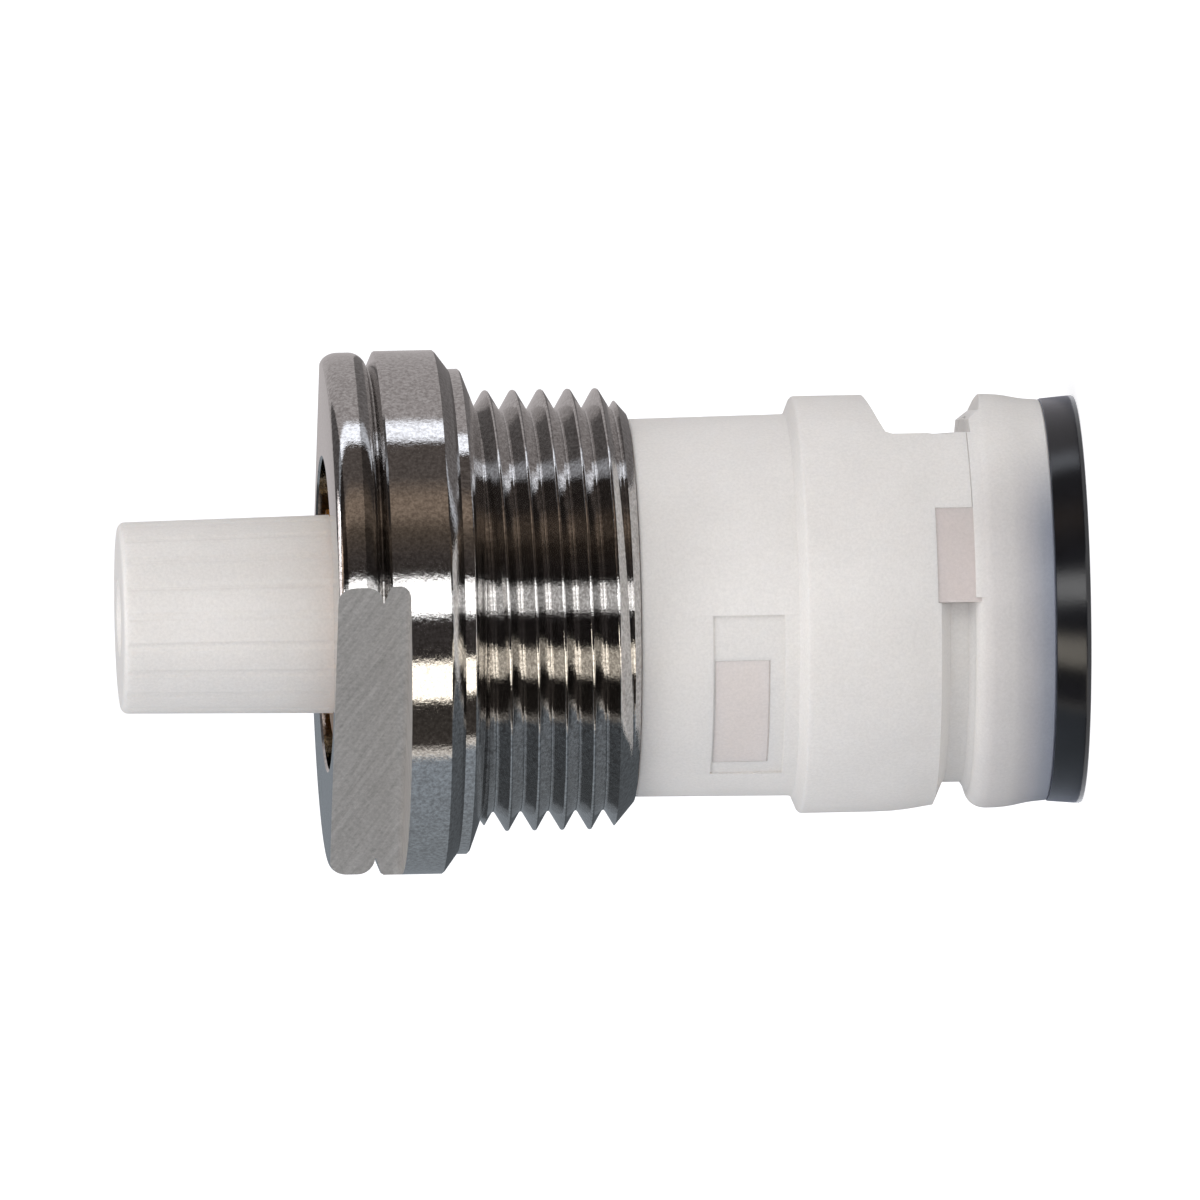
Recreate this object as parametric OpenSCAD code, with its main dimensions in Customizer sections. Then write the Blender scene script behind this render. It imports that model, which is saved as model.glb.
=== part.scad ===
// Quarter-turn ceramic-disc faucet stem, standing on its seal with the splined stub up.
// The origin is the centre of the seal's outer face, and +Z runs along the stem.
// Angles round the axis start at +X, where the outlet port faces, and grow anticlockwise.

/* [Handle stub] */
// Length of the stub above the bonnet nut's front face
stub_len = 11.2; // [8:0.1:16]
// Stub diameter at its free end
stub_end_d = 10.42; // [10:0.02:10.8]
// Stub diameter where it enters the nut
stub_root_d = 10.8; // [10.6:0.02:11]
// Number of flutes round the stub
spline_count = 20; // [12:1:24]
// Depth of each flute
spline_depth = 0.06; // [0.04:0.01:0.3]
// Diameter of the threaded hole for the handle screw, at its thread's crests
screw_hole_d = 3.3; // [2.5:0.1:4.2]
// Depth of the handle screw hole
screw_hole_depth = 9; // [6:0.5:10]

/* [Bonnet nut] */
// Outside diameter of the nut's thread
thread_d = 24; // [23.6:0.1:24.2]
// Pitch of the nut's thread
thread_pitch = 1.5; // [1.4:0.05:1.5]
// Largest diameter, on the lower ridge
ridge_d = 28.5; // [28:0.1:30]
// Diameter of the crowned upper ridge
crown_d = 28.4; // [27.8:0.1:28.5]
// Diameter of the plain collar above the thread
collar_d = 26.4; // [26:0.1:27]
// Distance across the two wrench flats
across_flats = 19; // [18.6:0.1:20]
// Height of the wrench flats below the front face
flats_h = 4.1; // [3.6:0.1:4.8]
// Direction that the first wrench flat faces
flat_angle = 47.5; // [0:0.5:180]
// Diameter of the recess in the front face
front_recess_d = 17; // [16:0.1:17.4]
// Depth of the recess in the front face
front_recess_depth = 1.6; // [1.4:0.1:1.7]

/* [Cartridge body] */
// Barrel diameter next to the nut
barrel_top_d = 20.56; // [20.3:0.02:20.6]
// Barrel diameter next to the collar
barrel_foot_d = 20.76; // [20.6:0.02:21]
// Diameter of the body's wide collar
body_collar_d = 22.7; // [22.6:0.05:22.8]
// Diameter of the bore that the discs and the bushing sit in
body_bore_d = 18.4; // [18.4:0.1:18.6]
// Diameter of the groove's floor below the collar
groove_floor_d = 19.64; // [19.4:0.02:19.8]
// Height of the nut's lower end above the seal's outer face
barrel_top_z = 24.4; // [24.2:0.1:24.6]
// Width of the outlet port
port_w = 12.4; // [11:0.1:12.8]
// Lower edge of the outlet port
port_z0 = 6.98; // [6.9:0.01:7.2]
// Upper edge of the outlet port
port_z1 = 10.3; // [9.8:0.01:10.4]
// Distance of the port's flat seat from the stem's axis
port_seat_x = 9.18; // [9.1:0.02:9.4]
// Distance that the side slot reaches from the middle towards the port
slot_w = 5.11; // [4:0.01:5.4]

/* [Snap windows] */
// Start of the shallow panel round the first window
panel_start_angle = -152; // [-156:1:-150]
// End of the panel
panel_end_angle = -93; // [-95:1:-90]
// Start of the window through the wall
window_start_angle = -146; // [-148:1:-145]
// End of the window
window_end_angle = -107; // [-110:1:-100]
// Depth of the panel below the barrel's surface
panel_depth = 0.2; // [0.1:0.05:0.4]

/* [Ceramic discs] */
// Diameter of both discs
disc_d = 18.2; // [18:0.05:18.3]
// Half of the angle of the fixed disc's opening
opening_half_angle = 32; // [20:1:34]
// Outer radius of the fixed disc's opening
opening_r = 6.5; // [5:0.1:6.6]

/* [Stem inside the bushing] */
// Diameter of the bushing's neck, which the nut turns on
neck_d = 17.8; // [17.6:0.05:17.9]
// Diameter of the stem where its rings seal
journal_d = 12.8; // [12.6:0.05:12.85]
// Diameter of the thrust flange
flange_d = 15.8; // [15:0.1:15.84]
// Angle that the stem turns through between its stops
travel = 90; // [60:1:100]
// Angle that the stem's stop lug covers
stop_lug_angle = 80; // [40:1:100]

/* [Inlet seal] */
// Seal diameter at the outer face
seal_face_d = 22.2; // [22:0.1:22.6]
// Seal diameter at the end ring
seal_top_d = 21.9; // [21.6:0.1:22.2]
// Thickness of the seal's exposed flange
seal_h = 1.9; // [1.6:0.1:2]
// Bore of the support ring inside the seal
inlet_d = 12.4; // [12:0.1:12.8]

/* [Hidden] */
$fn = 96;

// Running clearance between turning parts, on the radius
run_gap = 0.05;
// Overshoot of a cut past the surface that it opens
over = 1;

// Nut: heights above the seal's outer face
nut_z0 = barrel_top_z + 0.03;
nut_top_z = 41;
thread_r = thread_d / 2;
ridge_r = ridge_d / 2;
crown_r = crown_d / 2;
collar_r = collar_d / 2;
nut_bore_r = 9;
thread_root_r = thread_r - 0.95;
thread_crest_w = 0.2;
thread_end_z = 32.6;
thread_notches = 4;
lead_len = 1.2;
lead_depth = 1.4;
collar_z0 = 33.5;
collar_z1 = 34.12;
ridge_z0 = 34.87;
ridge_z1 = 38.15;
groove_z = 38.5;
groove_depth = 0.7;
crown_z0 = 39.4;
crown_edge = 0.5;
lip_z = nut_top_z - front_recess_depth;
lip_h = 0.9;

// Stem: heights above the seal's outer face
stub_z0 = nut_top_z;
stub_top_z = nut_top_z + stub_len;
stub_root_r = stub_root_d / 2;
stub_end_r = stub_end_d / 2;
stub_edge = 0.35;
stem_neck_r = 5.45;
journal_r = journal_d / 2 - run_gap;
journal_z0 = 29.4;
journal_z1 = 38.3;
flange_z0 = 27.6;
lug_z0 = 25.4;
stop_lug_r = 7.8;
hole_sink = 0.5;
shank_r = 6;
shank_z0 = 15.2;
tongue_z0 = 11.7;
tongue_w = 3.2;
tongue_len = 10.8;
ring_section = 1.45;
stem_groove_r = journal_r - ring_section;
upper_groove_z = 35.7;
lower_groove_z = 32.1;
ring_groove_h = 1.9;
clip_groove_z0 = lip_z + 0.48;
clip_groove_h = 0.8;
clip_groove_r = 4.65;
clip_h = 0.66;
clip_gap_angle = 64;
washer_h = 0.4;
flute_cut_r = 0.7;

// Bushing
neck_r = neck_d / 2;
neck_top_z = 38.35;
bushing_z0 = 11.05;
bushing_r = body_bore_d / 2 - run_gap;
chamber_r = 8;
chamber_z1 = 30;
neck_groove_z = 33.4;
neck_groove_r = 7.49;
stop_clear = 0.6;
stop_rib_r = 6.25;
stop_rib_z0 = 24.7;
stop_rib_z1 = 27.35;
slit_angle = 4;
slit_z0 = bushing_z0 + 3;
slit_z1 = slit_z0 + 7;

// Body
body_collar_r = body_collar_d / 2;
bore_r = body_bore_d / 2;
barrel_foot_r = barrel_foot_d / 2;
barrel_top_r = barrel_top_d / 2;
joint_z = 6.25;
skirt_z0 = 4.2;
skirt_r = 10;
foot_r = 11.08;
flare_z0 = 8.1;
flare_z1 = 11.3;
shoulder_z0 = 15.34;
shoulder_z1 = 15.9;
shoulder_edge = 0.13;
mouth_edge = 0.15;
window_z0 = 17.4;
window_z1 = 20.4;
panel_z0 = 16.6;
panel_z1 = 20.5;
slot_z0 = 6.27;
slot_z1 = 8.3;
slot_in_y = 7;
groove_z0 = 6.56;
groove_z1 = 7.6;
groove_angles = [60, 271];
groove_flank_r = 10.95;
groove_lip_r = 10.32;
// Shoulder above the port's seat and stepped lip below it, in X and Z
seat_shoulder = [[10.39, 10.9], [10.8, 11.17], [11.4, 11.8]];
seat_lip = [[11.3, 5.5], [11, 5.9], [10.42, 6.17], [10.15, 6.45], [9.87, 6.83]];

// End ring
ring_foot_r = 10.92;
ring_rim_r = 11.26;
ring_rim_z = 5.2;
ring_round = 0.86;
ring_top_z = joint_z - 0.02;

// Discs, with a lapped joint between them
fixed_z0 = 3.42;
lap_z = 6.64;
lap_film = 0.01;
moving_top_z = 9.94;
disc_r = disc_d / 2;
opening_in_r = 1.5;
pocket_top_z = 9;
key_angles = [120, 240];
key_w = 2.6;
key_in_r = 8;
dog_angles = [60, 180];
dog_w = 2.4;
dog_in_r = 7.1;

// Seal and its support ring
seal_boss_r = 8;
seal_boss_top_z = 3.4;
support_r = 6.75;
support_z0 = 0.5;
support_z1 = 3.3;

acetal = [0.87, 0.86, 0.85];
acetal_dark = [0.80, 0.79, 0.77];
chrome = [0.62, 0.62, 0.64];
rubber = [0.12, 0.12, 0.13];
bronze = [0.72, 0.55, 0.30];
alumina = [0.93, 0.92, 0.88];
steel = [0.70, 0.71, 0.73];

// Points on part of an ellipse with half-axes ar and az round (r, z), from angle a0 to a1
function arc(r, z, ar, az, a0, a1, steps) =
    [for (i = [0:steps]) let (a = a0 + (a1 - a0) * i / steps) [r + ar * cos(a), z + az * sin(a)]];

// A solid of revolution over part of a turn, from angle a0 to a1
module sector(a0, a1) {
    rotate([0, 0, a0]) rotate_extrude(angle = a1 - a0) children();
}

// A plain ring with its axis on Z
module ring(r_out, r_in, z0, z1) {
    difference() {
        translate([0, 0, z0]) cylinder(r = r_out, h = z1 - z0);
        translate([0, 0, z0 - over]) cylinder(r = r_in, h = z1 - z0 + 2 * over);
    }
}

// A rubber ring of round section that lies in a groove
module oring(r_out, z) {
    rotate_extrude() translate([r_out - ring_section / 2, z]) circle(d = ring_section, $fn = 32);
}

// One pitch of the thread's outline, from the crest at height z to the next one
function thread_notch(z) =
    let (middle = z + (thread_pitch + thread_crest_w) / 2)
    [[thread_r, z + thread_crest_w], [thread_root_r, middle - thread_crest_w / 2],
        [thread_root_r, middle + thread_crest_w / 2], [thread_r, z + thread_pitch]];

// Outline of the nut's half section, with the thread as rings at its pitch
module nut_profile() {
    first_crest_z = nut_z0 + lead_len;
    last_crest_z = first_crest_z + thread_notches * thread_pitch;
    polygon(concat(
        [[nut_bore_r, nut_z0], [thread_r - lead_depth, nut_z0], [thread_r, first_crest_z]],
        [for (i = [0:thread_notches - 1]) each thread_notch(first_crest_z + i * thread_pitch)],
        [[thread_r, last_crest_z + thread_crest_w], [thread_root_r, thread_end_z - thread_crest_w / 2]],
        [[thread_root_r, thread_end_z], [collar_r, collar_z0], [collar_r, collar_z1]],
        [[ridge_r, ridge_z0], [ridge_r, ridge_z1]],
        arc(crown_r - groove_depth, crown_z0, groove_depth, crown_z0 - groove_z, -90, 0, 8),
        arc(crown_r - crown_edge, nut_top_z - crown_edge, crown_edge, crown_edge, 0, 90, 6),
        [[front_recess_d / 2, nut_top_z], [front_recess_d / 2, lip_z]],
        [[stem_neck_r + 0.2, lip_z], [stem_neck_r + 0.2, lip_z - lip_h], [nut_bore_r, lip_z - lip_h]]));
}

module bonnet_nut() {
    block = 4 * ridge_r;
    color(chrome)
    difference() {
        rotate_extrude() nut_profile();
        for (side = [0, 180])
            rotate([0, 0, flat_angle + side])
            translate([across_flats / 2, -block / 2, nut_top_z - flats_h])
            cube([block, block, flats_h + over]);
    }
}

// Outline of the stem's half section, with the screw hole down from the free end
module stem_profile() {
    flange_r = flange_d / 2;
    hole_r = screw_hole_d / 2;
    polygon([
        [0, shank_z0], [shank_r, shank_z0], [shank_r, flange_z0],
        [flange_r, flange_z0], [flange_r, journal_z0], [journal_r, journal_z0],
        [journal_r, lower_groove_z - ring_groove_h / 2], [stem_groove_r, lower_groove_z - ring_groove_h / 2],
        [stem_groove_r, lower_groove_z + ring_groove_h / 2], [journal_r, lower_groove_z + ring_groove_h / 2],
        [journal_r, upper_groove_z - ring_groove_h / 2], [stem_groove_r, upper_groove_z - ring_groove_h / 2],
        [stem_groove_r, upper_groove_z + ring_groove_h / 2], [journal_r, upper_groove_z + ring_groove_h / 2],
        [journal_r, journal_z1], [stem_neck_r, journal_z1],
        [stem_neck_r, clip_groove_z0], [clip_groove_r, clip_groove_z0],
        [clip_groove_r, clip_groove_z0 + clip_groove_h], [stub_root_r, clip_groove_z0 + clip_groove_h],
        [stub_end_r, stub_top_z - stub_edge], [stub_end_r - stub_edge, stub_top_z],
        [hole_r + hole_sink, stub_top_z], [hole_r, stub_top_z - hole_sink],
        [hole_r, stub_top_z - screw_hole_depth], [0, stub_top_z - screw_hole_depth - hole_r / 2]]);
}

module flutes() {
    lean = atan((stub_root_r - stub_end_r) / stub_len);
    for (i = [0:spline_count - 1])
        rotate([0, 0, 360 * i / spline_count])
        translate([stub_root_r - spline_depth + flute_cut_r, 0, stub_z0])
        rotate([0, -lean, 0])
        cylinder(r = flute_cut_r, h = stub_len + over, $fn = 24);
}

module stem() {
    color(acetal)
    difference() {
        union() {
            rotate_extrude() stem_profile();
            sector(-stop_lug_angle / 2, stop_lug_angle / 2)
                translate([shank_r - over, lug_z0])
                square([stop_lug_r - shank_r + over, flange_z0 - lug_z0 + over]);
            translate([-tongue_len / 2, -tongue_w / 2, tongue_z0])
                cube([tongue_len, tongue_w, shank_z0 - tongue_z0 + over]);
        }
        flutes();
    }
}

module retaining_clip() {
    z0 = clip_groove_z0 + (clip_groove_h - clip_h) / 2;
    color(bronze)
    sector(clip_gap_angle / 2, 360 - clip_gap_angle / 2)
        translate([clip_groove_r + 0.05, z0]) square([2, clip_h]);
}

module clip_washer() {
    color(bronze) ring(7.6, stem_neck_r + run_gap, lip_z + 0.03, lip_z + 0.03 + washer_h);
}

module upper_stem_oring() {
    color(rubber) oring(journal_d / 2 - 0.02, upper_groove_z);
}

module lower_stem_oring() {
    color(rubber) oring(journal_d / 2 - 0.02, lower_groove_z);
}

module slip_washer() {
    color(steel) ring(flange_d / 2, journal_r + run_gap, journal_z0 + 0.03, chamber_z1 - 0.05);
}

// Outline of the bushing's half section
module bushing_profile() {
    groove_lo = neck_groove_z - ring_groove_h / 2;
    groove_hi = neck_groove_z + ring_groove_h / 2;
    polygon([
        [chamber_r, bushing_z0], [bushing_r - 0.4, bushing_z0], [bushing_r, bushing_z0 + 0.8],
        [bushing_r, barrel_top_z], [neck_r, barrel_top_z],
        [neck_r, groove_lo], [neck_groove_r, groove_lo], [neck_groove_r, groove_hi], [neck_r, groove_hi],
        [neck_r, neck_top_z - 0.4], [neck_r - 0.4, neck_top_z],
        [journal_d / 2, neck_top_z], [journal_d / 2, chamber_z1], [chamber_r, chamber_z1]]);
}

// One barbed lug that fills its window, flat on top and sloping outwards from below
module snap_lug() {
    barb_r = barrel_top_r - panel_depth - 0.12;
    barb_z0 = window_z0 + 0.1;
    barb_z1 = window_z1 - 0.1;
    sector(window_start_angle + 1, window_end_angle - 1)
        polygon([[bushing_r - 0.5, barb_z0], [bushing_r + 0.2, barb_z0], [barb_r, barb_z0 + 0.7],
            [barb_r, barb_z1], [bushing_r - 0.5, barb_z1]]);
}

// Slits on both sides of a lug, which leave it on a springy tongue
module tongue_slits() {
    for (a = [window_start_angle - 6, window_end_angle + 2])
        sector(a, a + slit_angle)
            translate([chamber_r - over, slit_z0])
            square([bushing_r - chamber_r + 2 * over, slit_z1 - slit_z0]);
}

module neck_bushing() {
    free = stop_lug_angle / 2 + stop_clear;
    color(acetal_dark)
    difference() {
        union() {
            rotate_extrude() bushing_profile();
            for (side = [0, 180]) rotate([0, 0, side]) snap_lug();
            sector(travel + free, 360 - free)
                translate([stop_rib_r, stop_rib_z0])
                square([chamber_r - stop_rib_r + 0.4, stop_rib_z1 - stop_rib_z0]);
        }
        for (side = [0, 180]) rotate([0, 0, side]) tongue_slits();
    }
}

module neck_oring() {
    color(rubber) oring(nut_bore_r - 0.02, neck_groove_z);
}

// Outline of the body's wall, from the joint with the end ring up to the nut
module body_profile() {
    polygon(concat(
        [[bore_r, skirt_z0], [skirt_r, skirt_z0], [skirt_r, joint_z], [foot_r, joint_z]],
        arc(foot_r, flare_z1, body_collar_r - foot_r, flare_z1 - flare_z0, -90, 0, 8),
        [[body_collar_r, shoulder_z0], [body_collar_r - shoulder_edge, shoulder_z0 + shoulder_edge]],
        [[barrel_foot_r, shoulder_z1], [barrel_top_r, barrel_top_z - mouth_edge]],
        [[barrel_top_r - mouth_edge, barrel_top_z], [bore_r, barrel_top_z]]));
}

// Section of the groove that runs round the back of the port
module groove_section() {
    floor_r = groove_floor_d / 2;
    clear_r = body_collar_r + 2 * over;
    polygon([
        [floor_r, groove_z0], [floor_r, groove_z1], [groove_flank_r, flare_z0], [clear_r, flare_z0 + over],
        [clear_r, joint_z - over], [groove_lip_r, joint_z - over], [groove_lip_r, joint_z]]);
}

// Cut along Y that leaves the port's flat seat, the sloping shoulder above it and the stepped lip below
module port_seat_cut() {
    clear_x = body_collar_r + over;
    width = 2 * clear_x;
    translate([0, clear_x, 0])
        rotate([90, 0, 0])
        linear_extrude(width)
        polygon(concat(
            [[port_seat_x, port_z1 + 0.11]], seat_shoulder, [[clear_x, seat_shoulder[2][1]]],
            [[clear_x, seat_lip[0][1]]], seat_lip, [[port_seat_x, port_z0 - 0.02]]));
}

module cartridge_body() {
    color(acetal)
    difference() {
        rotate_extrude() body_profile();
        sector(groove_angles[0], groove_angles[1]) groove_section();
        port_seat_cut();
        translate([port_seat_x / 2, -port_w / 2, port_z0]) cube([port_seat_x, port_w, port_z1 - port_z0]);
        translate([0, -body_collar_r - over, slot_z0])
            cube([slot_w, body_collar_r + over - slot_in_y, slot_z1 - slot_z0]);
        for (side = [0, 180]) rotate([0, 0, side]) {
            sector(panel_start_angle, panel_end_angle)
                translate([barrel_top_r - panel_depth, panel_z0]) square([over, panel_z1 - panel_z0]);
            sector(window_start_angle, window_end_angle)
                translate([bore_r - over, window_z0]) square([3 * over, window_z1 - window_z0]);
        }
    }
}

// Outline of the end ring's half section, flared above the seal and rounded at the joint
module ring_profile() {
    inner_r = seal_boss_r + 0.1;
    socket_r = skirt_r + run_gap;
    socket_z = skirt_z0 - 0.1;
    polygon(concat(
        [[inner_r, seal_h], [ring_foot_r, seal_h], [ring_foot_r + 0.02, 2.7], [ring_foot_r + 0.1, 3.3]],
        [[ring_rim_r - 0.06, 3.75], [ring_rim_r, 4]],
        arc(ring_rim_r - ring_round, ring_rim_z, ring_round, ring_top_z - ring_rim_z, 0, 90, 8),
        [[socket_r, ring_top_z], [socket_r, socket_z], [bore_r, socket_z], [bore_r, seal_boss_top_z]],
        [[inner_r, seal_boss_top_z]]));
}

module end_ring() {
    color(acetal)
    difference() {
        union() {
            rotate_extrude() ring_profile();
            for (a = key_angles)
                sector(a - 8, a + 8)
                    translate([key_in_r + 0.25, seal_boss_top_z - 0.3])
                    square([bore_r - key_in_r, skirt_z0 - seal_boss_top_z]);
        }
        port_seat_cut();
    }
}

module fixed_disc() {
    color(alumina)
    difference() {
        translate([0, 0, fixed_z0]) cylinder(r = disc_r, h = lap_z - fixed_z0);
        sector(-opening_half_angle, opening_half_angle)
            translate([opening_in_r, fixed_z0 - over])
            square([opening_r - opening_in_r, 2 * over + lap_z - fixed_z0]);
        for (a = key_angles)
            rotate([0, 0, a])
            translate([key_in_r, -key_w / 2, fixed_z0 - over])
            cube([disc_r, key_w, 2 * over]);
    }
}

module moving_disc() {
    color(alumina)
    difference() {
        translate([0, 0, lap_z + lap_film]) cylinder(r = disc_r, h = moving_top_z - lap_z - lap_film);
        sector(-opening_half_angle, opening_half_angle)
            translate([opening_in_r, lap_z - over]) square([disc_r, pocket_top_z - lap_z + over]);
        for (a = dog_angles)
            rotate([0, 0, a])
            translate([dog_in_r, -dog_w / 2 - 0.1, moving_top_z - 1.6])
            cube([disc_r, dog_w + 0.2, 1.6 + over]);
    }
}

module drive_carrier() {
    foot_z = moving_top_z + 0.04;
    waist_z = bushing_z0 - 0.1;
    carrier_r = chamber_r - 0.15;
    top_z = shank_z0 - 0.3;
    color(acetal_dark)
    difference() {
        union() {
            translate([0, 0, foot_z]) cylinder(r = disc_r - 0.1, h = waist_z - foot_z);
            translate([0, 0, foot_z]) cylinder(r = carrier_r, h = top_z - foot_z);
            for (a = dog_angles)
                rotate([0, 0, a])
                translate([dog_in_r + 0.15, -dog_w / 2, moving_top_z - 1.45])
                cube([disc_r - dog_in_r - 0.4, dog_w, 1.45 + 0.3]);
        }
        translate([-tongue_len / 2 - 0.1, -tongue_w / 2 - 0.05, tongue_z0 - 0.1])
            cube([tongue_len + 0.2, tongue_w + 0.1, shank_z0]);
    }
}

module support_ring() {
    color(steel) ring(support_r, inlet_d / 2, support_z0, support_z1);
}

module end_seal() {
    bore = inlet_d / 2;
    color(rubber)
    rotate_extrude() polygon([
        [bore + 0.1, 0], [seal_face_d / 2 - 0.08, 0], [seal_face_d / 2, 0.08],
        [seal_top_d / 2, seal_h - 0.02],
        [seal_boss_r, seal_h - 0.02], [seal_boss_r, seal_boss_top_z], [support_r + 0.01, seal_boss_top_z],
        [support_r + 0.01, support_z0 - 0.02], [bore + 0.1, support_z0 - 0.02]]);
}

bonnet_nut();
stem();
retaining_clip();
clip_washer();
upper_stem_oring();
lower_stem_oring();
slip_washer();
neck_bushing();
neck_oring();
cartridge_body();
end_ring();
fixed_disc();
moving_disc();
drive_carrier();
support_ring();
end_seal();
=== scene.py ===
import math

import bpy
from mathutils import Matrix, Vector


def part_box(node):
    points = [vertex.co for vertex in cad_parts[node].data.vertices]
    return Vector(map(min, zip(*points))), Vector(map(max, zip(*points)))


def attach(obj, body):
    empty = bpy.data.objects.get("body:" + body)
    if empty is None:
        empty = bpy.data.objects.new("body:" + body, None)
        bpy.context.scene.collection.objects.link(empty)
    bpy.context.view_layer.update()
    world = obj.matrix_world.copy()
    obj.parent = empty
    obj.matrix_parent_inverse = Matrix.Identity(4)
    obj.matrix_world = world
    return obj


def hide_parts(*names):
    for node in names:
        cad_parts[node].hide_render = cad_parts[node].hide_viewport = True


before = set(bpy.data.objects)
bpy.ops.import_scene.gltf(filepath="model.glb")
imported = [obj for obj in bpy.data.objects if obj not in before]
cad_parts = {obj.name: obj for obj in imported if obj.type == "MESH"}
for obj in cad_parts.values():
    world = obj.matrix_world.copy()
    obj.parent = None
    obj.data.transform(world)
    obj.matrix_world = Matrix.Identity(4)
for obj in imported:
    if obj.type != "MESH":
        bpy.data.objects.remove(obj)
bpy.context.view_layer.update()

# Camera
# A long lens from in front and a little above, turned on its side, so that the standing stem
# lies across the picture with its splined stub to the left.
MM = 0.001
camera_distance = 2600 * MM
camera_rise = math.radians(3.6)
camera_roll = math.radians(1.15)
picture_width = 65.28 * MM
picture_centre = Vector((0.46 * MM, 0, 25.98 * MM))

bpy.ops.object.select_all(action="DESELECT")
bpy.ops.object.camera_add()
camera = bpy.context.object
camera.name = "product_camera"
toward = Vector((0, -math.cos(camera_rise), math.sin(camera_rise)))
stem_down = Vector((0, -math.sin(camera_rise), -math.cos(camera_rise)))
picture_up = Vector((1, 0, 0)) * math.cos(camera_roll) + stem_down * math.sin(camera_roll)
picture_right = picture_up.cross(toward)
turn_camera = Matrix((picture_right, picture_up, toward)).transposed().to_4x4()
camera.matrix_world = Matrix.Translation(picture_centre + toward * camera_distance) @ turn_camera
camera.data.sensor_width = 36
camera.data.lens = camera.data.sensor_width * camera_distance / picture_width
camera.data.clip_start = 0.1
camera.data.clip_end = 20
bpy.context.scene.camera = camera
bpy.context.scene.view_settings.view_transform = "Standard"

# Studio floor and background
# A white floor that reads as plain white behind the part, and still takes its soft shadow.
# The camera, and anything that mirrors or lets light through, sees it at its own white.


def linear(hex_colour):
    """Turns an sRGB hex colour into the linear values that a shader takes."""
    parts = [int(hex_colour[i:i + 2], 16) / 255 for i in (1, 3, 5)]
    return [p / 12.92 if p <= 0.04045 else ((p + 0.055) / 1.055) ** 2.4 for p in parts] + [1]


def add_node(tree, kind, settings=None, **inputs):
    """Adds a shader node, with its settings, and with each named input set or linked."""
    made = tree.nodes.new("ShaderNode" + kind)
    for name, value in (settings or {}).items():
        setattr(made, name, value)
    for name, value in inputs.items():
        slot = int(name[1:]) if name[0] == "_" and name[1:].isdigit() else name.replace("_", " ")
        if isinstance(value, bpy.types.NodeSocket):
            tree.links.new(value, made.inputs[slot])
        else:
            made.inputs[slot].default_value = value
    return made


def new_material(name):
    """Starts a material and gives its node tree and its output."""
    material = bpy.data.materials.new(name)
    material.use_nodes = True
    material.node_tree.nodes.clear()
    return material, material.node_tree, add_node(material.node_tree, "OutputMaterial")


def studio_piece(name, material):
    """Names a piece of the studio and dresses it."""
    piece = bpy.context.object
    piece.name = name
    piece.data.materials.clear()
    piece.data.materials.append(material)
    return piece


floor_white, tree, output = new_material("studio_floor_paint")
path = add_node(tree, "LightPath").outputs
seen = add_node(tree, "Math", {"operation": "MAXIMUM"}, _0=path["Is Camera Ray"], _1=path["Is Glossy Ray"])
seen = add_node(tree, "Math", {"operation": "MAXIMUM"}, _0=seen.outputs[0], _1=path["Is Transmission Ray"])
paint = add_node(tree, "BsdfDiffuse", Color=linear("#d8d8d8"))
glow = add_node(tree, "Emission", Color=linear("#ffffff"), Strength=0.62)
off = add_node(tree, "Emission", Strength=0.0)
lit = add_node(tree, "MixShader", _0=seen.outputs[0], _1=off.outputs[0], _2=glow.outputs[0])
both = add_node(tree, "AddShader", _0=paint.outputs[0], _1=lit.outputs[0])
tree.links.new(both.outputs[0], output.inputs["Surface"])

bpy.ops.object.select_all(action="DESELECT")
bpy.ops.mesh.primitive_plane_add(size=60, location=(0, 0, 0))
studio_piece("studio_floor", floor_white)

world = bpy.data.worlds.new("studio_air")
bpy.context.scene.world = world
world.use_nodes = True
world.node_tree.nodes.clear()
tree = world.node_tree
path = add_node(tree, "LightPath").outputs
air = add_node(tree, "Background", Color=linear("#f8f9ff"), Strength=0.68)
white = add_node(tree, "Background", Color=linear("#ffffff"), Strength=1.0)
mixed = add_node(tree, "MixShader", _0=path["Is Camera Ray"], _1=air.outputs[0], _2=white.outputs[0])
tree.links.new(mixed.outputs[0], add_node(tree, "OutputWorld").inputs["Surface"])

# Studio lamps
# One large soft lamp on the port's side of the part, which is up in the picture, a faint one near
# the camera that opens the shadows on the near side, and a high one over the stub's lower side.


def soft_lamp(name, place, size, watts, colour):
    """Adds a square lamp that faces the middle of the part."""
    bpy.ops.object.light_add(type="AREA", location=place)
    lamp = bpy.context.object
    lamp.name = name
    lamp.data.shape = "SQUARE"
    lamp.data.size = size
    lamp.data.energy = watts
    lamp.data.color = linear(colour)[:3]
    lamp.rotation_mode = "QUATERNION"
    lamp.rotation_quaternion = (Vector(place) - Vector((0, 0, 26 * MM))).to_track_quat("Z", "Y")
    lamp.visible_glossy = False
    return lamp


soft_lamp("port_side_softbox", (0.75, -0.75, 0.3), 0.7, 3.9, "#fffaf4")
soft_lamp("camera_side_softbox", (-0.1, -1.2, 0.5), 0.6, 0.15, "#ffffff")
soft_lamp("stub_side_softbox", (-0.55, -0.4, 1.05), 0.6, 5.0, "#ffffff")

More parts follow.
